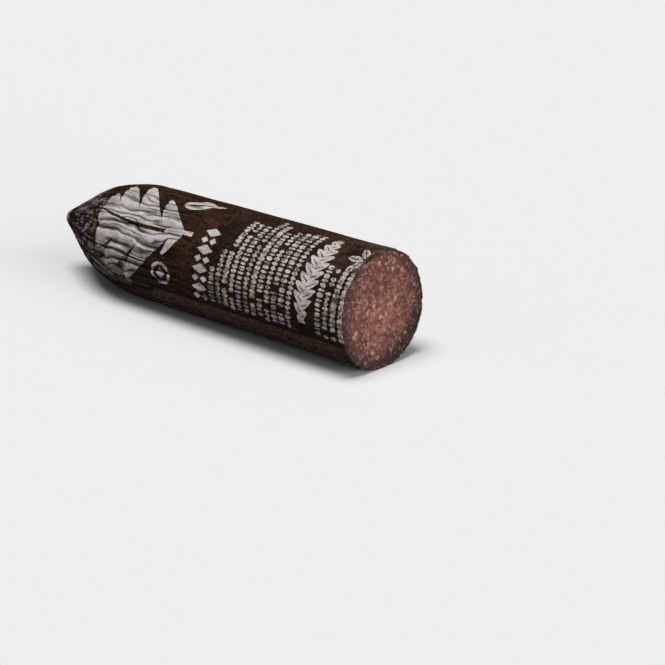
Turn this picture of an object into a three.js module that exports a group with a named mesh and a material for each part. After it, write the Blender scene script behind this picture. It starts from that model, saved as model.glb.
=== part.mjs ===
// A cured sausage in a thin printed skin, lying on its side. One end is gathered to a blunt
// point, and the other is cut straight across and shows the meat.
//
// The sausage lies along X, with the gathered tip at -X and the cut at +X. Z is up, and the
// origin is the middle of its length and width, on the surface that it rests on.
// All sizes are in millimetres. A station is a distance along the sausage from its tip.

import * as THREE from "three";

// Driving sizes
const LENGTH = 232;
const BODY_RADIUS = 30;
const REST_DEPTH = 0.8; // how far the underside is pressed flat by its own weight
const SKIN = 0.8; // wall of the casing
const FIT_GAP = 0.3; // between the casing and the meat
const FACE_RISE = 0.35; // how far the middle of the cut face stands out

// The gathered end: a cone with a blunt nose, which runs into the body over a round shoulder
const TIP_RADIUS = 3.5;
const CONE_SLOPE = 0.56; // growth of the radius for each millimetre of length
const SHOULDER = 12; // how far the cone and the body are rounded into each other
const NOSE_LENGTH = 1.6;
const KNOT_LENGTH = 6; // length of the tip that is nothing but gathered skin

// Pleats that the gathering leaves in the skin: how many, how deep, how far they twist round
// the sausage for each millimetre of length, and the angle where the first one starts
const PLEATS = [
  { count: 9, depth: 0.75, twist: 0.012, start: 0.4 },
  { count: 14, depth: 0.5, twist: -0.008, start: 1.9 },
];
const DEEPEST_PLEAT = 15; // the station where the pleats are deepest

// Slow swells of the body, since no sausage is perfectly round
const SWELLS = [
  { count: 2, size: 0.16, twist: 0.021, start: 1.0 },
  { count: 3, size: 0.1, twist: -0.034, start: 2.3 },
];

// The cut leans a little away from square. The skin follows it from a station onwards.
const LEAN_ACROSS = 0.024;
const LEAN_UP = -0.024;
const LEAN_START = 190;

// Fineness of the surface
const SEGMENTS = 60; // facets round the sausage
const NOSE_STEPS = 4;
const BODY_RINGS = 25;
const CROWDING = 0.65; // how much closer together the rings are at the tip
const LEAST_STEP = 1; // between the nose's last ring and the next
const FACE_RINGS = [0.96, 0.75, 0.5, 0.25, 0]; // as shares of the face's radius

const AXIS_HEIGHT = BODY_RADIUS - REST_DEPTH;

const { clamp, lerp, smoothstep } = THREE.MathUtils;

// The lesser of two values, with the corner between them rounded off
const smoothMin = (a, b, rounding) => {
  const share = clamp(0.5 + (0.5 * (b - a)) / rounding, 0, 1);
  return lerp(b, a, share) - rounding * share * (1 - share);
};

// Radius of the outside of the skin at a station, before pleats and swells
const skinRadius = (station) =>
  smoothMin(TIP_RADIUS + CONE_SLOPE * station, BODY_RADIUS, SHOULDER);

// How far the pleats draw the skin in: round ridges with narrow valleys between them
const pleatDepth = (station, angle) => {
  const along = station / DEEPEST_PLEAT;
  const fade = along * Math.exp(1 - along);
  return PLEATS.reduce((sum, { count, depth, twist, start }) => {
    const phase = (count * angle) / 2 + twist * station + start;
    return sum + depth * fade * (1 - Math.abs(Math.sin(phase)));
  }, 0);
};

// How far the body swells out, which shrinks with the radius towards the tip
const swell = (station, angle) =>
  SWELLS.reduce((sum, { count, size, twist, start }) => {
    const phase = count * angle + twist * station + start;
    return sum + (size * Math.sin(phase) * skinRadius(station)) / BODY_RADIUS;
  }, 0);

// The stations of the body's rings. All the surfaces share them, so that the gap between two
// of them stays even along their facets.
const bodyStations = Array.from({ length: BODY_RINGS }, (_, i) => {
  const share = i / (BODY_RINGS - 1);
  return lerp(NOSE_LENGTH, LENGTH, lerp(share, share * share, CROWDING));
});

// A profile is a list of rings, each with a radius, a station and its depth under the outside.
// This one runs from a blunt nose on the axis to the cut.
const profile = (depth, nose) => {
  const shoulder = nose + NOSE_LENGTH;
  const noseRadius = skinRadius(shoulder) - depth;
  const rings = [];
  for (let i = 0; i <= NOSE_STEPS; i++) {
    const angle = ((Math.PI / 2) * i) / NOSE_STEPS;
    const station = shoulder - NOSE_LENGTH * Math.cos(angle);
    rings.push({ radius: noseRadius * Math.sin(angle), station, depth });
  }
  for (const station of bodyStations) {
    if (station < shoulder + LEAST_STEP) continue;
    rings.push({ radius: skinRadius(station) - depth, station, depth });
  }
  return rings;
};

// Turns a profile round the axis, and gives the surface its pleats, its swells, its flat
// underside and the lean of the cut. The axis is the geometry's own Y, and up is its Z.
const turned = (rings) => {
  const outline = rings.map(({ radius, station }) => new THREE.Vector2(radius, station));
  const geometry = new THREE.LatheGeometry(outline, SEGMENTS);
  const position = geometry.getAttribute("position");
  for (let i = 0; i < position.count; i++) {
    const { radius, station, depth } = rings[i % rings.length];
    const angle = Math.atan2(position.getX(i), position.getZ(i));
    const share = Math.min(1, radius / skinRadius(station));
    const shaped = radius + share * (swell(station, angle) - pleatDepth(station, angle));
    const across = shaped * Math.sin(angle);
    const up = Math.max(shaped * Math.cos(angle), depth - AXIS_HEIGHT);
    const follow = smoothstep(station, LEAN_START, LENGTH);
    const lean = follow * (LEAN_ACROSS * across + LEAN_UP * up);
    position.setXYZ(i, across, station + lean, up);
  }
  return geometry;
};

// The outside of the casing from the tip to the cut, and its inside back again
const casingGeometry = () => {
  const outside = profile(0, 0);
  const inside = profile(SKIN, KNOT_LENGTH);
  return turned([...outside, ...inside.reverse()]);
};

// The meat fills the casing, and ends in the cut face
const meatGeometry = () => {
  const depth = SKIN + FIT_GAP;
  const side = profile(depth, KNOT_LENGTH + SKIN + FIT_GAP);
  const faceRadius = skinRadius(LENGTH) - depth;
  const face = FACE_RINGS.map((share) => ({
    radius: faceRadius * share,
    station: LENGTH + FACE_RISE * Math.sqrt(1 - share),
    depth,
  }));
  return turned([...side, ...face]);
};

const piece = (name, geometry, material) => {
  const mesh = new THREE.Mesh(geometry, material);
  mesh.name = name;
  return mesh;
};

const casingMaterial = new THREE.MeshStandardMaterial({
  color: 0x3b2620,
  roughness: 0.55,
  metalness: 0,
});
const meatMaterial = new THREE.MeshStandardMaterial({
  color: 0x8a4a44,
  roughness: 0.6,
  metalness: 0,
});

const sausage = new THREE.Group();
sausage.add(piece("casing", casingGeometry(), casingMaterial));
sausage.add(piece("meat", meatGeometry(), meatMaterial));

// The pieces are turned about Y. This lays them along X and centres them over the origin.
sausage.rotation.z = -Math.PI / 2;
sausage.position.z = AXIS_HEIGHT;
const middle = new THREE.Box3().setFromObject(sausage, true).getCenter(new THREE.Vector3());
sausage.position.x -= middle.x;
sausage.position.y -= middle.y;

export default sausage;
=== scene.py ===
"""A cured sausage in a dark printed casing, gathered at one end and cut across at the other.

The file is laid out as a Blender add-on and is run as a script. It builds its pieces round the
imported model, in metres: +X runs from the gathered tip to the cut, and +Z is up. A station is a
distance along the sausage from its tip. The angle round it is 0 at the top and grows towards -Y.
"""

import math
from typing import NamedTuple

import bpy
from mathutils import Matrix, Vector


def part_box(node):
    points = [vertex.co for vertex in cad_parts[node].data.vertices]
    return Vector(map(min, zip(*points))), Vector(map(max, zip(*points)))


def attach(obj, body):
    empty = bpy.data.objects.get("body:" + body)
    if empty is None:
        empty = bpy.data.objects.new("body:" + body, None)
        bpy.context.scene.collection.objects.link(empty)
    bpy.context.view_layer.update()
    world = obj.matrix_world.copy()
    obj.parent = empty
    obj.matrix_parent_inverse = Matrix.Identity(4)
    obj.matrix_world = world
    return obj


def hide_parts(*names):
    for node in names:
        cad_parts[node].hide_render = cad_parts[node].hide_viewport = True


bl_info = {
    "name": "Cured Sausage",
    "version": (1, 0, 0),
    "blender": (4, 5, 0),
    "location": "3D View > Sidebar > Sausage",
    "description": "Builds a cured sausage in a printed casing, and a plain stage for it",
    "category": "Add Mesh",
}

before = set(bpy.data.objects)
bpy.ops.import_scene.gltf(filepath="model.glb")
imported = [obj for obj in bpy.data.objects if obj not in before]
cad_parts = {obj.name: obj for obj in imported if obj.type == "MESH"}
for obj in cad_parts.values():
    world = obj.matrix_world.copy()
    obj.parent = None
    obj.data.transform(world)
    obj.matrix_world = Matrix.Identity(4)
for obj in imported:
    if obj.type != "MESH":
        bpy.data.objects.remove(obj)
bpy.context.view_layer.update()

MM = 0.001
BODY_RADIUS = 30 * MM
REST_DEPTH = 0.8 * MM  # how far the underside is pressed flat
LEAN_ACROSS, LEAN_UP = 0.024, -0.024  # slopes of the cut across the width and the height
LEAN_START = 190  # the station from which the skin follows the leaning cut, in millimetres

CASING_LOW, CASING_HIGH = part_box("casing")
TIP_X = CASING_LOW.x
LENGTH = CASING_HIGH.x - TIP_X - math.hypot(LEAN_ACROSS, LEAN_UP) * BODY_RADIUS
AXIS_HEIGHT = BODY_RADIUS - REST_DEPTH

# The formulas of the surface count in millimetres
ROUND = BODY_RADIUS / MM
CUT = LENGTH / MM  # the station of the cut


class Wave(NamedTuple):
    """A wave round the sausage. Its twist is for each millimetre along the sausage."""

    count: int
    size: float
    twist: float
    start: float


# Pleats and swells, which the solids have too
PLEATS = (
    Wave(count=9, size=0.75, twist=0.012, start=0.4),
    Wave(count=14, size=0.5, twist=-0.008, start=1.9),
)
SWELLS = (
    Wave(count=2, size=0.16, twist=0.021, start=1.0),
    Wave(count=3, size=0.1, twist=-0.034, start=2.3),
)
DEEPEST_PLEAT = 15  # the station where the pleats are deepest

# The long folds of the shrunken skin
WIDE_FOLDS, FINE_FOLDS = 36, 62  # how many have room round the sausage
WIDE_DEPTH, FINE_DEPTH = 0.95, 0.4
WIDE_REACH, FINE_REACH = 2.2, 1.3  # how far from its middle a fold sinks in
FOLD_LENGTH = 30
FOLD_STRETCH, RIPPLE_STRETCH = 2.2, 2.4
SWAY_SIZE, SWAY = 15, 13
RIPPLE_SIZE, RIPPLE = 5, 4.5
CALM_START, CALM_END = 100, 145  # stations between which the folds fade

# The casing's long seam, which lies low on the side and begins behind the gathered end
SEAM_AROUND = 59.5  # its place, round from the top
SEAM_SWAY_SIZE, SEAM_SWAY = 25, 2
SEAM_REACH, SEAM_DEPTH = 1.6, 0.45
SEAM_START, SEAM_CLEAR = 72, 92

# Lumps of the whole body, and bumps and tears next to the cut
LUMP_SIZE, LUMP_HEIGHT = 24, 0.7
NEAR_CUT = 12  # how far from the cut its bumps and tears reach
BUMP_SIZE, BUMP_HEIGHT = 3.6, 2.3
LOOSE_ANGLE, LOOSE_LENGTH, LOOSE_GAP = 2.05, 8, 1.1
TOP_TILT = 0.15  # angle from the top to the middle of the edge that is most torn


def linear(red, green, blue):
    """A colour from 0 to 255, as the linear values that Blender's colours hold (sRGB's curve)."""
    shares = (value / 255 for value in (red, green, blue))
    return tuple(
        share / 12.92 if share <= 0.04045 else ((share + 0.055) / 1.055) ** 2.4
        for share in shares
    )


def colour_property(name, description, red, green, blue):
    """A colour that the user can change."""
    return bpy.props.FloatVectorProperty(
        name=name,
        description=description,
        default=linear(red, green, blue),
        subtype="COLOR",
        min=0,
        max=1,
    )


def length_property(name, description, millimetres):
    """A length that the user can change."""
    return bpy.props.FloatProperty(
        name=name,
        description=description,
        default=millimetres * MM,
        unit="LENGTH",
    )


# Formulas made of nodes


def opaque(colour):
    """A plain colour with its alpha. A field is left as it is."""
    return colour if isinstance(colour, Field) else (*colour[:3], 1)


class Field:
    """A value that changes over the surface. It is a node's output that takes part in formulas."""

    def __init__(self, graph, socket):
        self.graph = graph
        self.socket = socket

    def __add__(self, other):
        return self.graph.math("ADD", self, other)

    def __sub__(self, other):
        return self.graph.math("SUBTRACT", self, other)

    def __rsub__(self, other):
        return self.graph.math("SUBTRACT", other, self)

    def __mul__(self, other):
        return self.graph.math("MULTIPLY", self, other)

    def __truediv__(self, other):
        return self.graph.math("DIVIDE", self, other)

    def __rtruediv__(self, other):
        return self.graph.math("DIVIDE", other, self)

    def __pow__(self, other):
        return self.graph.math("POWER", self, other)

    def __abs__(self):
        return self.graph.math("ABSOLUTE", self)

    __radd__ = __add__
    __rmul__ = __mul__


class Graph:
    """Adds nodes to a shader or geometry tree. What it is given may be fields or plain values."""

    def __init__(self, tree):
        self.tree = tree

    def add(self, kind, inputs=None, **settings):
        """Adds a node, with its inputs by name or number."""
        node = self.tree.nodes.new(kind)
        for name, value in settings.items():
            setattr(node, name, value)
        self.fill(node, inputs or {})
        return node

    def fill(self, node, inputs):
        """Feeds a node's inputs, by name or number."""
        for key, value in inputs.items():
            self.feed(node.inputs[key], value)

    def feed(self, socket, value):
        """Links a field or an output to a socket, or sets the socket to a plain value."""
        if isinstance(value, Field):
            self.tree.links.new(value.socket, socket)
        elif isinstance(value, bpy.types.NodeSocket):
            self.tree.links.new(value, socket)
        else:
            socket.default_value = value

    def field(self, socket):
        """An output as a field, for formulas."""
        return Field(self, socket)

    def math(self, operation, *values):
        """The result of one Math node."""
        node = self.add("ShaderNodeMath", dict(enumerate(values)), operation=operation)
        return self.field(node.outputs[0])

    def split(self, vector):
        """The three parts of a vector."""
        node = self.add("ShaderNodeSeparateXYZ", {0: vector})
        return [self.field(output) for output in node.outputs]

    def join(self, x, y, z):
        """A vector from its three parts."""
        node = self.add("ShaderNodeCombineXYZ", {0: x, 1: y, 2: z})
        return self.field(node.outputs[0])

    def least(self, *values):
        """The lowest of the values."""
        return self.chain("MINIMUM", values)

    def most(self, *values):
        """The highest of the values."""
        return self.chain("MAXIMUM", values)

    def chain(self, operation, values):
        """Applies an operation of two values to all of them in turn."""
        result = values[0]
        for value in values[1:]:
            result = self.math(operation, result, value)
        return result

    def ramp(self, value, low, high, start=0.0, end=1.0):
        """Runs smoothly from start to end while the value goes from low to high."""
        node = self.add(
            "ShaderNodeMapRange",
            {0: value, 1: low, 2: high, 3: start, 4: end},
            interpolation_type="SMOOTHSTEP",
        )
        return self.field(node.outputs[0])

    def noise(self, vector, size, detail=2.0, roughness=0.5):
        """Cloudy noise from 0 to 1, whose blotches are about size across."""
        inputs = {"Vector": vector, "Scale": 1 / size, "Detail": detail, "Roughness": roughness}
        return self.field(self.add("ShaderNodeTexNoise", inputs).outputs[0])

    def grains(self, vector, size):
        """Distance to the nearest grain's middle, in grain sizes, and a number for that grain."""
        node = self.add("ShaderNodeTexVoronoi", {"Vector": vector, "Scale": 1 / size})
        return self.field(node.outputs["Distance"]), self.random(node.outputs["Position"])

    def random(self, vector):
        """A number from 0 to 1 for each different vector."""
        node = self.add("ShaderNodeTexWhiteNoise", {"Vector": vector})
        return self.field(node.outputs["Value"])

    def blend(self, share, first, second):
        """A colour that goes from the first to the second with the share."""
        inputs = {0: share, 6: opaque(first), 7: opaque(second)}
        return self.field(self.add("ShaderNodeMix", inputs, data_type="RGBA").outputs[2])

    def bump(self, height, distance, strength):
        """The normal of a fine relief. The distance is how far a height of 1 stands out."""
        inputs = {"Height": height, "Distance": distance, "Strength": strength}
        return self.add("ShaderNodeBump", inputs).outputs[0]

    def group(self, tree, **inputs):
        """Places a shader node group and returns its outputs by name."""
        node = self.add("ShaderNodeGroup", node_tree=tree)
        self.fill(node, inputs)
        return {output.name: self.field(output) for output in node.outputs}


def new_group(name, inputs, outputs, formula):
    """A shader node group whose outputs come from a formula of its inputs."""
    tree = bpy.data.node_groups.new(name, "ShaderNodeTree")
    for label, kind in inputs.items():
        tree.interface.new_socket(label, in_out="INPUT", socket_type=kind)
    for label, kind in outputs.items():
        tree.interface.new_socket(label, in_out="OUTPUT", socket_type=kind)
    graph = Graph(tree)
    source = graph.add("NodeGroupInput")
    target = graph.add("NodeGroupOutput")
    results = formula(graph, *[graph.field(source.outputs[label]) for label in inputs])
    for label, result in zip(outputs, results):
        graph.feed(target.inputs[label], result)
    return tree


FLOAT, VECTOR = "NodeSocketFloat", "NodeSocketVector"


# The shape of the sausage as formulas, which the meshes and the materials share


def place_on_sausage(graph, position):
    """The station and the distance from the axis in millimetres, and the angle round it."""
    x, y, z = graph.split(position)
    across = y / -MM
    up = (z - AXIS_HEIGHT) / MM
    station = (x - TIP_X) / MM
    radius = graph.math("SQRT", across * across + up * up)
    angle = graph.math("ARCTAN2", across, up)
    return station, radius, angle


def drawn_out(graph, station, angle, stretch):
    """A point for noise that closes round the sausage and is drawn out along it."""
    return graph.join(
        station / stretch,
        graph.math("SINE", angle) * ROUND,
        graph.math("COSINE", angle) * ROUND,
    )


def fold_lines(graph, station, angle, count, wander):
    """Distance from the nearest of the long folds, and how strong that fold is."""
    pitch = math.tau * ROUND / count
    phase = angle * (count / math.tau) + wander / pitch
    number = graph.math("FLOORED_MODULO", graph.math("FLOOR", phase), count)
    away = abs(graph.math("FRACT", phase) - 0.5) * pitch
    own_place = graph.join(number * 3.7, station / FOLD_LENGTH, count)
    present = graph.noise(own_place, size=1, detail=1)
    return away, graph.ramp(present, 0.36, 0.56)


def folds(graph, station, angle):
    """The long wavy folds of the shrunken skin: the mask of their creases, which take painted
    shade, and how far the skin sinks.
    """
    point = drawn_out(graph, station, angle, FOLD_STRETCH)
    ripple_point = drawn_out(graph, station, angle, RIPPLE_STRETCH)
    cloud = graph.noise(point, SWAY_SIZE, detail=1)
    sway = (cloud - 0.5) * SWAY
    ripple = (graph.noise(ripple_point, RIPPLE_SIZE, detail=1) - 0.5) * RIPPLE
    wide, wide_present = fold_lines(graph, station, angle, WIDE_FOLDS, sway + ripple)
    fine, fine_present = fold_lines(graph, station, angle, FINE_FOLDS, sway + ripple * 1.3)

    # The folds are weak in calm patches and on top, and strong at the sides and underneath
    calm = graph.ramp(cloud, 0.36, 0.6, 0.1, 0.45)
    round_side = graph.ramp(abs(angle), 0.2, 1.1, 0.75, 1.0)
    shrunken = round_side * graph.ramp(station, CALM_END, CALM_START)
    underneath = graph.ramp(abs(angle), 1.95, 2.3, 0.0, 0.7)
    strength = graph.most(calm, shrunken, underneath)
    fine_present = fine_present * graph.ramp(strength, 0.4, 0.95, 0.1, 0.9)
    wide_present = wide_present * strength

    # The crease lines, where the casing is darkened with painted shade
    crease_shade_and_dark = graph.most(
        graph.ramp(wide, 0.95, 0.25) * wide_present,
        graph.ramp(fine, 0.7, 0.15) * fine_present,
    )
    sink = graph.ramp(wide, WIDE_REACH, 0.0) * wide_present * WIDE_DEPTH
    sink = sink + graph.ramp(fine, FINE_REACH, 0.0) * fine_present * FINE_DEPTH
    seam = seam_line(graph, station, angle)
    # The seam's line is darkened with painted shade as well
    crease_shade_and_dark = graph.most(crease_shade_and_dark, graph.ramp(seam, 0.75, 0.15) * 0.9)
    return crease_shade_and_dark, sink + graph.ramp(seam, SEAM_REACH, 0.0) * SEAM_DEPTH


def seam_line(graph, station, angle):
    """Distance from the casing's long seam. Ahead of its start nothing lies close to it."""
    sway = graph.noise(graph.join(station, 0, 0), SEAM_SWAY_SIZE, detail=1) - 0.5
    away = abs(angle * ROUND - SEAM_AROUND + sway * SEAM_SWAY)
    return away + graph.ramp(station, SEAM_CLEAR, SEAM_START) * 4


def pleats(graph, station, angle):
    """How far the gathering's pleats draw the skin in, and how far the body swells out."""
    along = station / DEEPEST_PLEAT
    fade = along * graph.math("EXPONENT", 1 - along)
    drawn = 0.0
    for wave in PLEATS:
        phase = angle * (wave.count / 2) + station * wave.twist + wave.start
        drawn = (1 - abs(graph.math("SINE", phase))) * wave.size * fade + drawn
    swell = 0.0
    for wave in SWELLS:
        phase = angle * wave.count + station * wave.twist + wave.start
        swell = graph.math("SINE", phase) * wave.size + swell
    return drawn, swell


def lumps(graph, station, angle):
    """How far the slow lumps of the body rise."""
    cloud = graph.noise(drawn_out(graph, station, angle, 1.6), LUMP_SIZE, detail=1)
    return (cloud - 0.5) * LUMP_HEIGHT


def near_cut(graph, station):
    """Grows from 0 to 1 over the last stretch before the cut."""
    return graph.ramp(station, CUT - NEAR_CUT, CUT)


def near_top(graph, angle):
    """1 along the top of the sausage, and 0 on its sides and underneath."""
    return graph.ramp(graph.math("COSINE", angle - TOP_TILT), 0.5, 0.95)


def behind_cut(graph, station, radius, angle):
    """How far a point lies behind the leaning plane of the cut."""
    across = graph.math("SINE", angle) * radius
    up = graph.math("COSINE", angle) * radius
    return across * LEAN_ACROSS + up * LEAN_UP + CUT - station


def receded(graph, station, angle):
    """How far the casing's torn edge stands back from the cut: more of it along the top."""
    ragged = graph.noise(drawn_out(graph, station, angle, 60), 6, detail=1.5)
    all_round = graph.ramp(ragged, 0.35, 0.65, 0.0, 0.5)
    return all_round + near_top(graph, angle) * graph.ramp(ragged, 0.35, 0.65, 0.2, 1.6)


def rim_bumps(graph, position):
    """Small bumps that the crumbly meat pushes into the casing along the cut."""
    return (graph.noise(position, BUMP_SIZE * MM, detail=2, roughness=0.6) - 0.5) * BUMP_HEIGHT


def loose_edge(graph, station, angle):
    """Where the meat has shrunk away from the casing along the low part of the cut."""
    low = graph.ramp(graph.math("COSINE", angle + LOOSE_ANGLE), 0.75, 0.97)
    return low * graph.ramp(station, CUT - LOOSE_LENGTH, CUT - 0.5)


# Meshes


def deselect_all():
    """Leaves nothing selected, since an operator acts on all that is."""
    for thing in bpy.context.selected_objects:
        thing.select_set(False)


def extruded_rings(name, rings, segments):
    """Extrudes a filled circle along X through rings, each a station and a radius in metres."""
    deselect_all()
    station, radius = rings[0]
    bpy.ops.mesh.primitive_circle_add(
        vertices=segments,
        radius=radius,
        fill_type="NGON",
        location=(TIP_X + station, 0, AXIS_HEIGHT),
        rotation=(0, math.pi / 2, 0),
    )
    piece = bpy.context.object
    piece.name = piece.data.name = name
    bpy.ops.object.transform_apply(location=True, rotation=True, scale=True)
    bpy.ops.object.mode_set(mode="EDIT")
    bpy.ops.mesh.select_all(action="SELECT")
    for (old_station, old_radius), (station, radius) in zip(rings, rings[1:]):
        bpy.ops.mesh.extrude_region_move(
            TRANSFORM_OT_translate={"value": (station - old_station, 0, 0)}
        )
        growth = radius / old_radius
        bpy.ops.transform.resize(
            value=(1, growth, growth),
            center_override=(TIP_X + station, 0, AXIS_HEIGHT),
        )
    bpy.ops.object.mode_set(mode="OBJECT")
    return piece


def face_outwards():
    """Turns every face of the active object's closed mesh outwards."""
    bpy.ops.object.mode_set(mode="EDIT")
    bpy.ops.mesh.select_all(action="SELECT")
    bpy.ops.mesh.normals_make_consistent(inside=False)
    bpy.ops.object.mode_set(mode="OBJECT")


def grid_front(piece, columns):
    """Turns the front face, which is a polygon of many corners, into a grid of small faces."""
    bpy.ops.object.mode_set(mode="EDIT")
    bpy.ops.mesh.select_mode(type="FACE")
    bpy.ops.mesh.select_all(action="DESELECT")
    bpy.ops.object.mode_set(mode="OBJECT")
    front = max(piece.data.polygons, key=lambda face: (len(face.vertices), face.center.x))
    front.select = True
    bpy.ops.object.mode_set(mode="EDIT")
    bpy.ops.mesh.delete(type="ONLY_FACE")
    bpy.ops.mesh.select_mode(type="EDGE")
    bpy.ops.mesh.select_non_manifold()
    bpy.ops.mesh.fill_grid(span=columns)
    bpy.ops.object.mode_set(mode="OBJECT")


def apply_modifier(piece, name, kind, **settings):
    """Adds a modifier and makes its result the mesh."""
    modifier = piece.modifiers.new(name, kind)
    for setting, value in settings.items():
        setattr(modifier, setting, value)
    bpy.ops.object.modifier_apply(modifier=name)


def apply_relief(piece, name, moved):
    """Moves every vertex to where the formula puts it."""
    tree = bpy.data.node_groups.new(name, "GeometryNodeTree")
    tree.interface.new_socket("Geometry", in_out="INPUT", socket_type="NodeSocketGeometry")
    tree.interface.new_socket("Geometry", in_out="OUTPUT", socket_type="NodeSocketGeometry")
    graph = Graph(tree)
    source = graph.add("NodeGroupInput")
    position = graph.field(graph.add("GeometryNodeInputPosition").outputs[0])
    placed = graph.add(
        "GeometryNodeSetPosition",
        {"Geometry": source.outputs[0], "Position": moved(graph, position)},
    )
    target = graph.add("NodeGroupOutput")
    graph.feed(target.inputs[0], placed.outputs[0])
    apply_modifier(piece, name, "NODES", node_group=tree)


def smooth_most(graph, value, limit, rounding):
    """The greater of two values, with the corner between them rounded off."""
    share = graph.math("MINIMUM", (value - limit) / (2 * rounding) + 0.5, 1.0)
    share = graph.math("MAXIMUM", share, 0.0)
    return value * share + (1 - share) * limit + share * (1 - share) * rounding


FLAT_ROUNDING = 1.3 * MM  # how far the skin rounds into the flat spot underneath


def lay_down(graph, station, radius, angle):
    """The position of a point with this place on the sausage, pressed flat underneath."""
    across = graph.math("SINE", angle) * radius
    up = graph.math("COSINE", angle) * radius
    follow = graph.ramp(station, LEAN_START, CUT)
    lean = (across * LEAN_ACROSS + up * LEAN_UP) * follow
    x = (station + lean) * MM + TIP_X
    z = up * MM + AXIS_HEIGHT
    return graph.join(x, across * -MM, smooth_most(graph, z, 0.0, FLAT_ROUNDING))


def smooth_least(first, second, rounding):
    """The lesser of two plain numbers, with the corner between them rounded off."""
    share = min(max(0.5 + 0.5 * (second - first) / rounding, 0), 1)
    return second + (first - second) * share - rounding * share * (1 - share)


def skin_radius(settings, station):
    """Radius of the outside of the skin at a station, before its folds."""
    cone = settings.tip_radius + settings.cone_slope * station
    return smooth_least(cone, BODY_RADIUS, settings.shoulder)


def crowded_stations(first, last, count, crowding):
    """Stations from one to another, closer together at the first."""
    shares = (i / (count - 1) for i in range(count))
    return [
        first + (last - first) * (share * (1 - crowding) + share * share * crowding)
        for share in shares
    ]


NOSE_ANGLES = (0.12, 0.4, 0.75, 1.1, 1.4)  # where the nose has rings, from its middle outwards


def nose_rings(settings):
    """Rings of the blunt end, from its middle to its shoulder."""
    full = skin_radius(settings, settings.nose_length)
    rings = []
    for angle in NOSE_ANGLES:
        round_off = settings.nose_length * (1 - math.cos(angle))
        dimple = settings.dimple * (1 - math.sin(angle)) ** 2
        rings.append((round_off + dimple, full * math.sin(angle)))
    return rings


class CasingSettings(bpy.types.PropertyGroup):
    """Sizes and colours of the casing."""

    tip_radius: length_property("Tip radius", "Radius of the gathered tip", 3.5)
    cone_slope: bpy.props.FloatProperty(
        name="Cone slope",
        description="How much the radius of the gathered end grows with its length",
        default=0.56,
    )
    shoulder: length_property(
        "Shoulder", "How far the gathered end and the body are rounded into each other", 12
    )
    nose_length: length_property("Nose length", "Length of the rounding of the blunt tip", 1.6)
    dimple: length_property("Dimple", "How far the middle of the tip is drawn in", 1.2)
    wall: length_property("Wall", "Thickness of the casing where its cut edge shows", 0.4)
    reserve: length_property(
        "Reserve", "Extra thickness behind the cut, which the folds sink into", 1.7
    )
    segments: bpy.props.IntProperty(
        name="Segments",
        description="Facets round the casing before it is subdivided",
        default=108,
    )
    brown: colour_property("Brown", "Darker brown of the casing", 38, 23, 14)
    brown_light: colour_property("Light brown", "Lighter brown of the casing", 62, 38, 24)
    # Olive patches towards the cut, lightened on top as a painted sheen
    olive_and_sheen: colour_property("Olive", "Patches next to the cut", 98, 77, 56)
    # Plain underside below the seam, lightened as a painted sheen
    below_seam_with_sheen: colour_property("Below the seam", "Plain underside of the casing", 108, 90, 79)
    # Painted shade in the creases, pleat valleys and fold hollows; also the dark tone of random
    # speckles, of the skin beside the rows, of scratches and of blotches on the gathered end
    crease_shade_and_dark: colour_property("Crease", "Depth of the folds and pleats", 15, 10, 8)
    ink: colour_property("Ink", "Duller white of the print", 176, 170, 165)
    ink_light: colour_property("Light ink", "Clearer white of the print", 208, 203, 198)
    ink_rows: colour_property("Row ink", "Ink of the rows, stained by the casing", 198, 182, 172)
    ink_tip: colour_property("Tip ink", "Remains of ink on the gathered end", 158, 147, 142)
    thread: colour_property("Thread", "Worn fibres along the casing", 112, 86, 70)
    tip_end: colour_property("Tip end", "Bare end of the gathered tip", 178, 160, 150)
    rim: colour_property("Rim", "Edge of the casing at the cut", 158, 138, 120)


def casing_rings(settings):
    """The casing's outside from the tip to the cut, its rim, and its inside back again.

    The rings crowd at the tip and at the cut. The wall is thin only where its edge shows.
    """
    first, last = settings.nose_length, LENGTH - 1.5 * MM
    outside = crowded_stations(first, last, count=38, crowding=0.6)
    outside += [LENGTH - 0.3 * MM, LENGTH]
    thin = [LENGTH, LENGTH - 0.5 * MM, LENGTH - 5 * MM]
    thick = [LENGTH - 12 * MM, 0.6 * LENGTH, 0.3 * LENGTH, 0.15 * LENGTH, 9 * MM]
    wall = settings.wall
    full_wall = wall + settings.reserve
    rings = nose_rings(settings)
    rings += [(station, skin_radius(settings, station)) for station in outside]
    rings += [(station, skin_radius(settings, station) - wall) for station in thin]
    rings += [(station, skin_radius(settings, station) - full_wall) for station in thick]
    return rings


def casing_shape(graph, position):
    """Where a point of the casing goes: folded, pleated, torn at the cut and laid down."""
    station, radius, angle = place_on_sausage(graph, position)
    _, sink = folds(graph, station, angle)
    drawn, swell = pleats(graph, station, angle)
    bulk = radius / ROUND
    near_tip = graph.ramp(station, 0, 10, 0.35, 1.0)  # the relief is low on the blunt end
    rise = swell * bulk + lumps(graph, station, angle) * bulk
    relief = rise - drawn * near_tip - sink * near_tip
    close = near_cut(graph, station)
    relief = relief + rim_bumps(graph, position) * close
    station = station - receded(graph, station, angle) * close
    share = graph.least(radius / 6, 1.0)  # none of it in the middle of the tip
    return lay_down(graph, station, radius + relief * share, angle)


def build_casing(settings):
    """Makes the casing, its folds and its finish."""
    piece = extruded_rings("casing_skin", casing_rings(settings), settings.segments)
    face_outwards()
    apply_modifier(piece, "Subdivision", "SUBSURF", levels=2, render_levels=2)
    apply_relief(piece, "Casing relief", casing_shape)
    bpy.ops.object.shade_smooth()
    piece.data.materials.clear()
    piece.data.materials.append(casing_material(settings))
    return piece


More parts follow.
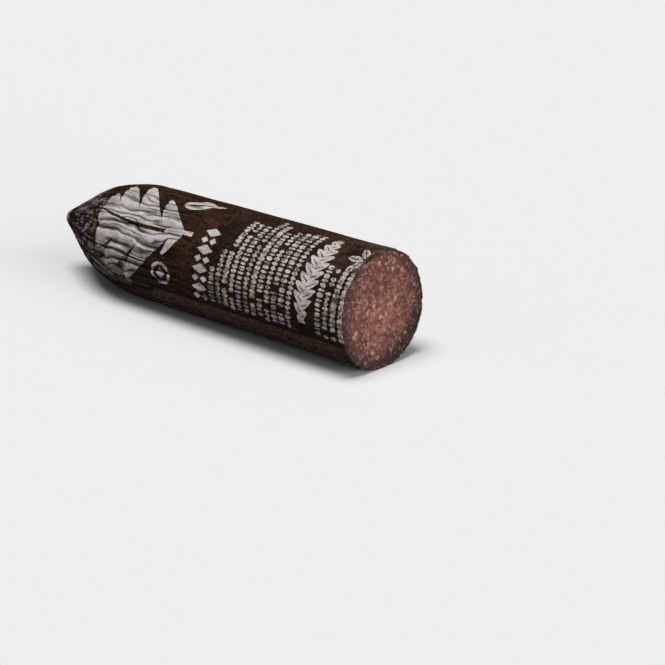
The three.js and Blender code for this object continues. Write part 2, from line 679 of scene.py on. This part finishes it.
class MeatSettings(bpy.types.PropertyGroup):
    """Sizes and colours of the meat."""

    gap: length_property("Gap", "Space between the casing and the meat", 0.08)
    segments: bpy.props.IntProperty(
        name="Segments",
        description="Facets round the meat, of which a quarter lie across its face",
        default=760,
    )
    lean: colour_property("Lean", "Darker lean meat", 104, 53, 51)
    lean_light: colour_property("Light lean", "Lighter lean meat", 158, 95, 85)
    sinew: colour_property("Sinew", "Darkest shreds of the meat", 42, 20, 20)
    fat: colour_property("Fat", "Duller grains of fat", 172, 127, 109)
    fat_light: colour_property("Light fat", "Clearer grains of fat", 208, 166, 151)
    heart: colour_property("Heart", "Warmer middle of the cut", 174, 110, 84)
    # The dried edge of the cut, which low down also serves as painted shadow
    dried_and_shadow: colour_property("Dried edge", "Edge of the cut, darkened by drying", 42, 25, 20)


def meat_rings(settings, skin):
    """The meat from the edge of its cut face, along its side, to its end in the tip.

    The edge is rounded off, and lies close to the casing's thin rim. The side lies deeper.
    """
    wall = skin.wall + settings.gap
    edge = [(LENGTH, 0.4 * MM), (LENGTH - 0.12 * MM, 0.1 * MM), (LENGTH - 0.5 * MM, 0)]
    edge = [(station, wall + inset) for station, inset in edge]
    deep = wall + skin.reserve + 0.4 * MM
    side = [(LENGTH - 4 * MM, wall), (LENGTH - 10 * MM, deep)]
    side += [(share * LENGTH, deep) for share in (0.75, 0.5, 0.3, 0.22, 0.15, 0.1, 0.07)]
    return [(station, skin_radius(skin, station) - inset) for station, inset in edge + side]


# The cut face of the meat, in millimetres
LARGE_GRAIN, SMALL_GRAIN = 3.1, 1.55
LARGE_SHARE, SMALL_SHARE = 0.16, 0.4  # how many of the places for grains hold one
GRAIN_WARP = 1.9
LARGE_RISE, SMALL_RISE, CRUMB_RISE, WAVE_RISE, PIT_DEPTH = 0.16, 0.1, 0.42, 0.7, 0.5
FACE_RISE = 0.35  # how far the middle of the cut face stands out
LOWEST_ANGLE = 3.75  # where the dried edge of the cut face is widest, widened there by painted shadow


def grain_fields(graph, position):
    """How fatty the cut meat is, in large and in small grains, and a number for each grain."""
    warp = graph.noise(position, 2.4 * MM, detail=2.5, roughness=0.6) - 0.5
    warp_too = graph.noise(position, 1.9 * MM, detail=2.5, roughness=0.6) - 0.5
    x, y, z = graph.split(position)
    y = y + warp * (GRAIN_WARP * MM)
    z = z + warp_too * (GRAIN_WARP * MM)
    point = graph.join(x * 0.4, y, z)
    far, chance = graph.grains(point, LARGE_GRAIN * MM)
    near, chance_too = graph.grains(point, SMALL_GRAIN * MM)
    large = graph.ramp(far, 0.5, 0.25) * graph.ramp(chance, 0.23, LARGE_SHARE)
    small = graph.ramp(near, 0.6, 0.3) * graph.ramp(chance_too, 0.5, SMALL_SHARE)
    return large, small, chance_too


def meat_shape(graph, position):
    """Where a point of the meat goes: it follows the casing, and its cut face is crumbly."""
    station, radius, angle = place_on_sausage(graph, position)
    _, sink = folds(graph, station, angle)
    drawn, swell = pleats(graph, station, angle)
    bulk = radius / ROUND
    relief = (swell + lumps(graph, station, angle) - drawn - sink * 0.7) * bulk

    large, small, _ = grain_fields(graph, position)
    rough = graph.noise(position, 0.9 * MM, detail=3, roughness=0.6) - 0.5
    waves = graph.noise(position, 9 * MM, detail=2) - 0.5
    pits = graph.ramp(graph.noise(position, 2.6 * MM, detail=1), 0.30, 0.22)
    rise = large * LARGE_RISE + small * SMALL_RISE + rough * CRUMB_RISE
    rise = rise + waves * WAVE_RISE - pits * PIT_DEPTH
    dome = (1 - bulk * bulk) * FACE_RISE
    face = graph.ramp(station, CUT - 0.3, CUT)
    rim = graph.ramp(radius, ROUND, ROUND - 2.5, 0.25, 1.0)
    crumbs = graph.ramp(graph.noise(position, 2.8 * MM, detail=2), 0.35, 0.65)
    crumbled = graph.ramp(radius, 25.5, 30) * (crumbs * 2.2 + 0.5) * near_top(graph, angle)
    forward = (rise * rim + dome - crumbled) * face

    outer = graph.ramp(radius, 24, 29.5)
    relief = relief + rim_bumps(graph, position) * near_cut(graph, station) * outer
    shrunken = loose_edge(graph, station, angle) * graph.ramp(radius, 22, 29.5)
    relief = relief - shrunken * LOOSE_GAP
    return lay_down(graph, station + forward, radius + relief, angle)


def build_meat(settings, skin):
    """Makes the meat, its cut face and its finish. It fits inside the casing's skin."""
    piece = extruded_rings("cured_meat", meat_rings(settings, skin), settings.segments)
    grid_front(piece, settings.segments // 4)
    face_outwards()
    apply_relief(piece, "Meat relief", meat_shape)
    bpy.ops.object.shade_smooth()
    piece.data.materials.clear()
    piece.data.materials.append(meat_material(settings))
    return piece


# Materials


def object_position(graph):
    """The point of the surface, in the piece's own metres."""
    return graph.field(graph.add("ShaderNodeTexCoord").outputs["Object"])


def new_material(name):
    """A material with an empty tree but for its surface and output, and a graph to add to it."""
    material = bpy.data.materials.new(name)
    material.use_nodes = True
    graph = Graph(material.node_tree)
    surface = material.node_tree.nodes["Principled BSDF"]
    return material, graph, surface


def cells(graph, value, pitch):
    """The number of the cell that a value falls in, and its distance from the cell's middle."""
    share = value / pitch
    offset = (graph.math("FRACT", share) - 0.5) * pitch
    return graph.math("FLOOR", share), offset


def inside(graph, depth, softness=0.14):
    """1 where a point lies inside a shape by that many millimetres, and 0 outside it."""
    return graph.ramp(depth, -softness, softness)


def between(graph, value, low, high):
    """How far a value lies inside a range, from its nearer end."""
    return graph.least(value - low, high - value)


def lobes(graph, along, out, pitch, slant, half):
    """How far out a leaf reaches with its lobes, and the distance from a lobe's middle line."""
    phase = (along + out * slant) / pitch
    lobe = graph.math("POWER", abs(graph.math("SINE", phase * math.pi)) + 0.001, 0.75)
    return half * (0.3 + 0.7 * lobe), abs(graph.math("FRACT", phase) - 0.5) * pitch


# Places and sizes of the print. Around is the distance round the sausage from its top.
LEAF_TIP, LEAF_LENGTH = 51, 66
LEAF_MIDDLE, LEAF_HALF_WIDTH, LEAF_UPPER_CUT = 28, 32, 5
LOBE_PITCH = 17
LEAFLET_STATION, LEAFLET_AROUND = 111, 5
RING_STATION, RING_AROUND = 106, 49.5
RING_LENGTH, RING_WIDTH = 7.2, 6.2
BOLD_START, BOLD_PITCH, BOLD_STATION, BOLD_COUNT = 18.5, 4.9, 135.5, 8
GARLAND_STATION, GARLAND_START, GARLAND_END = 207, 3, 52
GARLAND_PITCH, GARLAND_HALF_WIDTH = 4.9, 6.8
SPRIG_STATION, SPRIG_AROUND = 232, 13
SPRIG_PITCH, SPRIG_TILT = 0.9, 0.45  # the angle between its leaves, and how far they are turned
ROWS_START, ROW_PITCH, MARK_PITCH = 141.5, 4.85, 2.4
PRINT_EDGE = 57.5


def leaf_print(graph, station, around):
    """A large lobed leaf along the sausage, with its stem towards the cut."""
    along = station - LEAF_TIP
    share = graph.math("MAXIMUM", along / LEAF_LENGTH, 0.0001)
    share = graph.math("MINIMUM", share, 0.9999)
    bend = share - 0.55
    side = around - LEAF_MIDDLE + bend * bend * 14
    out = abs(side)
    lower = graph.ramp(side, -0.01, 0.01)
    belly = graph.math("SINE", share ** 0.6 * math.pi)
    half = belly ** 0.7 * (LEAF_HALF_WIDTH - LEAF_UPPER_CUT + lower * LEAF_UPPER_CUT)
    reach, _ = lobes(graph, along + lower * (LOBE_PITCH * 0.45), out, LOBE_PITCH, 0.8, half)
    blade = graph.least(reach - out, out - 0.5 - share * 0.9)
    stem = graph.least(1.3 - out, between(graph, along, LEAF_LENGTH * 0.8, LEAF_LENGTH + 6))
    return graph.most(graph.least(blade, between(graph, along, 0, LEAF_LENGTH)), stem)


def leaflet_print(graph, station, around):
    """A small leaf beside the large leaf's stem."""
    x = station - LEAFLET_STATION
    y = around - LEAFLET_AROUND + x * 0.25
    blade = (1 - x * x * 0.01) * 5.4 - abs(y)
    vein = graph.most(abs(y) - 0.55, -6 - x)
    stem = graph.least(0.9 - abs(y), between(graph, x, 8, 15))
    return graph.most(graph.least(blade, vein), stem)


def ring_print(graph, station, around):
    """A plain oval ring with a lozenge in it."""
    x = (station - RING_STATION) / RING_LENGTH
    y = (around - RING_AROUND) / RING_WIDTH
    radius = graph.math("SQRT", x * x + y * y)
    ring = 0.75 - abs(radius - 0.85) * 6
    lozenge = (0.42 - abs(x) - abs(y) * 0.8) * 4
    return graph.most(ring, lozenge)


def bold_print(graph, station, around):
    """A row of large lozenges across the sausage, with pairs of small ones between them."""
    number, x = cells(graph, around - BOLD_START, BOLD_PITCH)
    y = abs(station - BOLD_STATION)
    large = (1 - abs(x) / 2.7 - y / 5.4) * 2.4
    pair = (1 - abs(x) / 1.9 - abs(y - 2.9) / 2.4) * 1.5
    odd = graph.math("PINGPONG", number, 1)
    motif = large + (pair - large) * odd
    end = BOLD_START + BOLD_COUNT * BOLD_PITCH
    return graph.least(motif, between(graph, around, BOLD_START, end))


def garland_print(graph, station, around):
    """A thick leafy garland across the sausage."""
    sway = graph.math("SINE", around / 9) * 0.8
    side = station - GARLAND_STATION - sway
    lower = graph.ramp(side, -0.01, 0.01)
    half = graph.ramp(abs(around - 27), 26, 8, 0.35, 1.0) * GARLAND_HALF_WIDTH
    out = abs(side)
    reach, from_vein = lobes(graph, around + lower * 2.4, out, GARLAND_PITCH, 0.6, half)
    vein = graph.most(from_vein - 0.38 + out / reach * 0.3, out - reach * 0.6)
    return graph.least(reach - out, vein, between(graph, around, GARLAND_START, GARLAND_END))


def sprig_print(graph, station, around):
    """A sprig of three pointed leaves next to the cut."""
    x = station - SPRIG_STATION
    y = around - SPRIG_AROUND
    out = graph.math("SQRT", x * x + y * y)
    turned = graph.math("ARCTAN2", y, x * -1)
    _, away = cells(graph, turned + SPRIG_TILT, SPRIG_PITCH)
    middle = (out - 6.6) / 5.2
    leaf = (1 - middle * middle) * 2.1 - abs(away) * out
    vein = abs(away) * out - 0.25
    return graph.least(leaf, graph.most(vein, 4 - out), 1.32 - abs(turned))


def small_print(graph, station, around):
    """Rows of small beads or lozenges across the sausage, some with bars between them."""
    row, y = cells(graph, station - ROWS_START, ROW_PITCH)
    row_chance = graph.random(graph.join(row, 0.5, 7))
    row_kind = graph.random(graph.join(row, 2.5, 3))
    column, x = cells(graph, around + row_chance * 20, MARK_PITCH)
    high, wide, present = [
        graph.random(graph.join(row, column, seed)) for seed in (1.5, 3.5, 4.5)
    ]
    power = graph.ramp(row_kind, 0.34, 0.36, 1.2, 2.3)
    odd = graph.math("PINGPONG", column, 1)
    narrow = odd * graph.ramp(row_kind, 0.59, 0.61) * 0.9 + 1
    across = (abs(x) * narrow / (wide * 0.35 + 0.95)) ** power
    tall = (abs(y) / (high * 0.5 + 1.6)) ** power
    bead = (1 - (across + tall) ** (1 / power)) * 1.3
    bead = graph.least(bead, (present - 0.06) * 20)

    # Whole marks are kept or left out: where the rows start and end, and beside the garland
    middle_station = (row + 0.5) * ROW_PITCH + ROWS_START
    middle = around - x
    first = graph.ramp(row, 0, 2.5, 38, -6) + row_chance * 14
    first = graph.most(first, graph.ramp(middle_station, 213, 214, 0, 21))
    rows = graph.least(
        between(graph, middle, first, PRINT_EDGE - 1),
        between(graph, station, ROWS_START, CUT + 2),
    )
    beside = abs(middle_station - GARLAND_STATION) - 7
    return graph.least(bead, rows * 9, beside * 9)


def tip_print(graph, station, around):
    """Broken remains of print that the gathering has drawn together."""
    fine = {"size": 2.4, "detail": 2.5, "roughness": 0.6}
    cloud = graph.noise(graph.join(station / 1.8, around / 2.2, 0), **fine)
    cloud_too = graph.noise(graph.join(station / 2.6, around / 1.4, 9), **fine)
    upper = graph.least(
        (cloud - 0.46) * 8,
        between(graph, station, 12, 38) * 0.12,
        between(graph, around, -40, 26) * 0.12,
    )
    middle = graph.least(
        (cloud - 0.53) * 8,
        between(graph, station, 16, 50) * 0.12,
        between(graph, around, 12, 62) * 0.12,
    )
    lower = graph.least(
        (cloud_too - 0.47) * 8,
        between(graph, station, 46, 80) * 0.12,
        between(graph, around, 44, 64) * 0.12,
    )
    return graph.most(upper, middle, lower)


def print_formula(graph, station, angle):
    """How much ink lies at a point: of the motifs, and of the remains on the gathered end."""
    around = angle * ROUND
    ragged = graph.noise(graph.join(station, around, 0), 1.5, detail=3, roughness=0.6) - 0.5
    ragged_too = graph.noise(graph.join(around, station, 5), 1.5, detail=3, roughness=0.6) - 0.5
    station = station + ragged * 1.1
    around = around + ragged_too * 1.1
    shapes = graph.most(
        leaf_print(graph, station, around),
        leaflet_print(graph, station, around),
        ring_print(graph, station, around),
        bold_print(graph, station, around),
        garland_print(graph, station, around),
        sprig_print(graph, station, around),
        small_print(graph, station, around),
    )
    return inside(graph, shapes), inside(graph, tip_print(graph, station, around), 0.3)


def mottle_formula(graph, position, size, softness):
    """Noise, and the same noise drawn apart into a mask from 0 to 1."""
    noise = graph.noise(position, size, detail=3.0, roughness=0.6)
    mask = (noise - 0.5) / softness + 0.5
    return noise, graph.least(graph.most(mask, 0.0), 1.0)


def mottle_group():
    """Soft blotches, which the casing and the meat share."""
    return bpy.data.node_groups.get("Mottle") or new_group(
        "Mottle",
        {"Position": VECTOR, "Size": FLOAT, "Softness": FLOAT},
        {"Height": FLOAT, "Mask": FLOAT},
        mottle_formula,
    )


def mottle(graph, position, size, softness=0.3):
    """Soft blotches of a size, in the units of the position: a height and a mask."""
    outputs = graph.group(mottle_group(), Position=position, Size=size, Softness=softness)
    return outputs["Height"], outputs["Mask"]


def casing_material(settings):
    """The casing's finish: fibrous skin, worn print, creases and a dried edge."""
    material, graph, surface = new_material("Casing")
    position = object_position(graph)
    station, radius, angle = place_on_sausage(graph, position)
    crease_shade_and_dark, sink = folds(graph, station, angle)
    drawn, _ = pleats(graph, station, angle)
    printing = new_group(
        "Casing Print",
        {"Station": FLOAT, "Angle": FLOAT},
        {"Ink": FLOAT, "Remains": FLOAT},
        print_formula,
    )
    printed = graph.group(printing, Station=station, Angle=angle)
    skin_point = drawn_out(graph, station, angle, 1.3)
    _, clouds = mottle(graph, skin_point, size=9, softness=0.3)
    stain_point = drawn_out(graph, station + 300, angle, 1.6)
    _, stains = mottle(graph, stain_point, size=4.5, softness=0.25)
    fibre, speckle = mottle(graph, skin_point, size=1.3, softness=0.2)
    _, worn = mottle(graph, skin_point, size=1.7, softness=0.26)
    thread, _ = mottle(graph, drawn_out(graph, station + 90, angle, 1.7), size=1.1)

    # Bare skin: olive towards the cut, pale and plain below the seam, with fine pale threads. The
    # olive on top near the cut and the pale strip are both lightened as a painted sheen
    colour = graph.blend(clouds, settings.brown, settings.brown_light)
    # On top near the cut the olive is lightened as a painted sheen
    olive_and_sheen_place = graph.ramp(station, 185, 215) * graph.ramp(angle, 1.0, 0.7)
    olive_and_sheen = graph.most(stains * 0.2, clouds * olive_and_sheen_place * 0.75)
    colour = graph.blend(olive_and_sheen, colour, settings.olive_and_sheen)
    # Below the seam the plain strip is lightened as a painted sheen
    below_seam_with_sheen = graph.ramp(angle, 1.98, 2.02) * graph.ramp(station, 70, 95)
    colour = graph.blend(below_seam_with_sheen * 0.6, colour, settings.below_seam_with_sheen)
    colour = graph.blend(speckle * 0.7, colour, settings.crease_shade_and_dark)
    above_seam = graph.ramp(angle, 2.0, 1.9)
    threads = graph.ramp(thread, 0.56, 0.7) * above_seam
    colour = graph.blend(threads * 0.42, colour, settings.thread)

    # The rows of print lie on darker skin, and are greyer and more worn than the motifs
    in_rows = graph.ramp(station, ROWS_START - 3.5, ROWS_START + 0.5)
    beside_rows = in_rows * graph.ramp(angle, 0.05, 0.3) * above_seam
    colour = graph.blend(beside_rows * 0.35, colour, settings.crease_shade_and_dark)
    in_garland = graph.ramp(abs(station - GARLAND_STATION), 10, 8)
    in_rows = in_rows * (1 - in_garland)

    remains = printed["Remains"] * graph.ramp(worn, 0.0, 0.6, 0.45, 0.85)
    colour = graph.blend(remains * 0.8, colour, settings.ink_tip)
    ink = printed["Ink"] * graph.ramp(worn, 0.0, 0.3, 0.75, 1.0)
    ink = ink * (1 - graph.ramp(worn, 0.6, 0.25) * in_rows * 0.65)
    # Stains thin the ink towards the underside: partly real stains, partly painted shade low down
    ink = ink * (1 - graph.ramp(stains, 0.3, 0.9) * graph.ramp(angle, 1.0, 1.8) * 0.5)
    white = graph.blend(clouds, settings.ink, settings.ink_light)
    white = graph.blend(in_rows * 0.4, white, settings.ink_rows)
    colour = graph.blend(ink, colour, white)

    # Painted shade in the creases, the fold hollows (deeper on the lower side) and the pleat
    # valleys; also darker blotches on the gathered end, and dark scratches
    gathered = graph.ramp(station, 34, 8) * graph.ramp(fibre, 0.62, 0.42)
    valley_shade = graph.ramp(drawn, 0.55, 1.0) * graph.ramp(station, 40, 22)
    hollow_shade = graph.ramp(sink, 0.05, 0.9) * graph.ramp(angle, 0.7, 1.3, 0.5, 0.8)
    scratches = graph.ramp(thread, 0.45, 0.32)
    dark = graph.most(crease_shade_and_dark * 0.95, hollow_shade, gathered * 0.58, valley_shade * 0.75, scratches * 0.4)
    colour = graph.blend(dark, colour, settings.crease_shade_and_dark)

    # The two ends
    end = graph.ramp(station + (fibre - 0.5) * 6, 7.0, 3.0)
    colour = graph.blend(end * 0.85, colour, settings.tip_end)
    cut_edge = behind_cut(graph, station, radius, angle) - receded(graph, station, angle)
    rim = graph.ramp(cut_edge, 0.7, 0.25)
    rim = rim * (loose_edge(graph, station, angle) * 0.6 + 0.2)
    colour = graph.blend(rim, colour, settings.rim)

    wrinkle_point = drawn_out(graph, station, angle, 4)
    wrinkle = graph.noise(wrinkle_point, 1.5, detail=3, roughness=0.6)
    grain = graph.noise(position, 0.35 * MM)
    height = fibre * 0.35 + wrinkle * 0.4 + thread * 0.25 + grain * 0.06 + ink * 0.05
    finish = {
        "Base Color": colour,
        "Roughness": graph.ramp(ink, 0, 1, 0.62, 0.75) + fibre * 0.12,
        "Specular IOR Level": 0.045,
        "Normal": graph.bump(height, distance=1 * MM, strength=0.6),
    }
    graph.fill(surface, finish)
    return material


def meat_material(settings):
    """The meat's finish: lean with sinew, grains of fat and a darker dried edge."""
    material, graph, surface = new_material("Meat")
    position = object_position(graph)
    _, radius, angle = place_on_sausage(graph, position)
    large, small, chance = grain_fields(graph, position)
    _, clouds = mottle(graph, position, size=4.5 * MM)
    smear, knots = mottle(graph, position, size=2.4 * MM, softness=0.2)
    speck, shreds = mottle(graph, position, size=0.9 * MM, softness=0.22)

    # Lean meat, warmer in the middle of the cut and more shredded towards its edge
    colour = graph.blend(clouds, settings.lean, settings.lean_light)
    colour = graph.blend(shreds * 0.62, colour, settings.sinew)
    colour = graph.blend(graph.ramp(smear, 0.46, 0.36) * 0.5, colour, settings.sinew)
    colour = graph.blend(graph.ramp(smear, 0.53, 0.63) * 0.5, colour, settings.fat)
    middle = graph.ramp(radius, 17, 4) * clouds
    colour = graph.blend(middle * 0.4, colour, settings.heart)
    outer = graph.ramp(radius + clouds * 6, 18, 33) * 0.25
    outer = outer + graph.ramp(radius, 8, 24) * shreds * 0.35
    colour = graph.blend(outer, colour, settings.sinew)

    # The dried edge, widened and darkened low down on the cut by painted shadow
    downwards = graph.math("COSINE", angle - LOWEST_ANGLE)
    lowest = graph.ramp(downwards, 0.6, 0.95)
    shaded = graph.ramp(downwards, -0.8, 0.8, 2.3, 4.3) + lowest * 3.5
    edge = (speck - 0.5) * 7 + knots * 4
    dried_and_shadow = graph.ramp(radius + shaded + edge, 28.5, 33)
    # Lowest on the cut the edge is darker still, as painted shadow
    colour = graph.blend(dried_and_shadow * (lowest * 0.14 + 0.84), colour, settings.dried_and_shadow)

    # Grains and flecks of fat
    fat = graph.blend(chance * 1.6, settings.fat, settings.fat_light)
    clear = graph.ramp(graph.noise(position, 12 * MM, detail=1), 0.4, 0.6, 0.6, 1.0)
    clear = clear * (1 - dried_and_shadow * 0.5)
    colour = graph.blend(small * clear * 0.65, colour, fat)
    colour = graph.blend(large * clear * 0.85, colour, fat)
    flecks = graph.ramp(speck, 0.55, 0.68) * (1 - dried_and_shadow * (lowest * 0.3 + 0.5))
    colour = graph.blend(flecks * 0.5, colour, settings.fat)
    finish = {
        "Base Color": colour,
        "Roughness": 0.62 - large * 0.15 - speck * 0.1,
        "Normal": graph.bump(speck, distance=0.6 * MM, strength=0.5),
        "Specular IOR Level": 0.4,
        "Subsurface Weight": 0.12,
        "Subsurface Radius": (1, 0.35, 0.2),
        "Subsurface Scale": 2 * MM,
    }
    graph.fill(surface, finish)
    return material


FLOOR_SEEN = (0.778, 0.778, 0.778, 1)
FLOOR_THROWN = (0.3, 0.29, 0.27, 1)  # the colour of the light that it throws back


def floor_material():
    """Pale to the camera. It throws back little light, so the underside stays dark."""
    material, graph, surface = new_material("Floor")
    graph.fill(surface, {"Base Color": FLOOR_SEEN, "Roughness": 0.8, "Specular IOR Level": 0})
    seen = graph.add("ShaderNodeLightPath").outputs["Is Camera Ray"]
    dark = graph.add("ShaderNodeBsdfDiffuse", {"Color": FLOOR_THROWN}).outputs[0]
    mix = graph.add("ShaderNodeMixShader", {0: seen, 1: dark, 2: surface.outputs[0]})
    output = material.node_tree.nodes["Material Output"]
    graph.feed(output.inputs["Surface"], mix.outputs[0])
    return material


# The stage


# Where the camera stands, from the middle of the cut's lower edge, in metres
CAMERA_FROM_CUT = Vector((0.5966, -0.6708, 0.3388))
WORLD_LIGHT = 0.08  # strength of the light that comes from all round
WORLD_SEEN = 0.76  # how much brighter the camera sees the background


class StageSettings(bpy.types.PropertyGroup):
    """Lens and direction of the camera."""

    lens: bpy.props.FloatProperty(
        name="Lens",
        description="Focal length of the camera, on a 36 mm sensor",
        default=107.5,
    )
    azimuth: bpy.props.FloatProperty(
        name="Azimuth",
        description="Angle that the camera stands round from the side of the sausage",
        default=math.radians(43.2),
        subtype="ANGLE",
    )
    elevation: bpy.props.FloatProperty(
        name="Elevation",
        description="Angle that the camera looks down by",
        default=math.radians(19.68),
        subtype="ANGLE",
    )


def add_sun(name, towards, spread, energy):
    """A sun lamp that stands in a direction. Its spread is in degrees."""
    bpy.ops.object.light_add(type="SUN", location=towards)
    light = bpy.context.object
    light.name = name
    light.data.angle = math.radians(spread)
    light.data.energy = energy
    light.rotation_euler = (-Vector(towards)).to_track_quat("-Z", "Y").to_euler()


def build_stage(settings):
    """Makes the floor, the camera, the lights and the background."""
    deselect_all()
    bpy.ops.mesh.primitive_plane_add(size=60, location=(0, 0, 0))
    floor = bpy.context.object
    floor.name = floor.data.name = "floor"
    floor.data.materials.append(floor_material())

    level = math.cos(settings.elevation)
    back = Vector(
        (
            math.sin(settings.azimuth) * level,
            -math.cos(settings.azimuth) * level,
            math.sin(settings.elevation),
        )
    )
    place = Vector((TIP_X + LENGTH, 0, 0)) + CAMERA_FROM_CUT
    turn = (-back).to_track_quat("-Z", "Y").to_euler()
    bpy.ops.object.camera_add(location=place, rotation=turn)
    camera = bpy.context.object
    camera.name = "camera"
    camera.data.lens = settings.lens
    camera.data.sensor_width = 36
    bpy.context.scene.camera = camera

    add_sun("key", towards=(0.02, -0.22, 1.0), spread=34, energy=2.6)
    add_sun("fill", towards=(1.0, -0.12, 0.3), spread=50, energy=2.3)

    world = bpy.data.worlds.new("Studio")
    bpy.context.scene.world = world
    world.use_nodes = True
    background = world.node_tree.nodes["Background"]
    background.inputs["Color"].default_value = (1, 1, 1, 1)
    graph = Graph(world.node_tree)
    seen = graph.field(graph.add("ShaderNodeLightPath").outputs["Is Camera Ray"])
    graph.feed(background.inputs["Strength"], seen * WORLD_SEEN + WORLD_LIGHT)
    bpy.context.scene.view_settings.view_transform = "Standard"


class SAUSAGE_OT_casing(bpy.types.Operator):
    """Builds the printed casing"""

    bl_idname = "sausage.casing"
    bl_label = "Build Casing"

    def execute(self, context):
        piece = build_casing(context.scene.sausage_casing)
        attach(piece, "root")
        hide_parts("casing")
        return {"FINISHED"}


class SAUSAGE_OT_meat(bpy.types.Operator):
    """Builds the meat, which shows at the cut"""

    bl_idname = "sausage.meat"
    bl_label = "Build Meat"

    def execute(self, context):
        piece = build_meat(context.scene.sausage_meat, context.scene.sausage_casing)
        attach(piece, "root")
        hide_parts("meat")
        return {"FINISHED"}


class SAUSAGE_OT_stage(bpy.types.Operator):
    """Builds the floor, the lights and the camera"""

    bl_idname = "sausage.stage"
    bl_label = "Build Stage"

    def execute(self, context):
        build_stage(context.scene.sausage_stage)
        return {"FINISHED"}


class SAUSAGE_PT_panel(bpy.types.Panel):
    """Lists what the add-on builds"""

    bl_idname = "SAUSAGE_PT_panel"
    bl_label = "Cured Sausage"
    bl_space_type = "VIEW_3D"
    bl_region_type = "UI"
    bl_category = "Sausage"

    def draw(self, context):
        for operator in (SAUSAGE_OT_casing, SAUSAGE_OT_meat, SAUSAGE_OT_stage):
            self.layout.operator(operator.bl_idname)


CLASSES = (
    CasingSettings,
    MeatSettings,
    StageSettings,
    SAUSAGE_OT_casing,
    SAUSAGE_OT_meat,
    SAUSAGE_OT_stage,
    SAUSAGE_PT_panel,
)


def register():
    """Registers the classes, and gives the scene their settings."""
    for item in CLASSES:
        bpy.utils.register_class(item)
    scene = bpy.types.Scene
    scene.sausage_casing = bpy.props.PointerProperty(type=CasingSettings)
    scene.sausage_meat = bpy.props.PointerProperty(type=MeatSettings)
    scene.sausage_stage = bpy.props.PointerProperty(type=StageSettings)


def unregister():
    """Takes away what register has added."""
    del bpy.types.Scene.sausage_stage
    del bpy.types.Scene.sausage_meat
    del bpy.types.Scene.sausage_casing
    for item in reversed(CLASSES):
        bpy.utils.unregister_class(item)


def main():
    """Builds the sausage and its stage."""
    register()
    bpy.ops.sausage.casing()
    bpy.ops.sausage.meat()
    bpy.ops.sausage.stage()


if __name__ == "__main__":
    main()
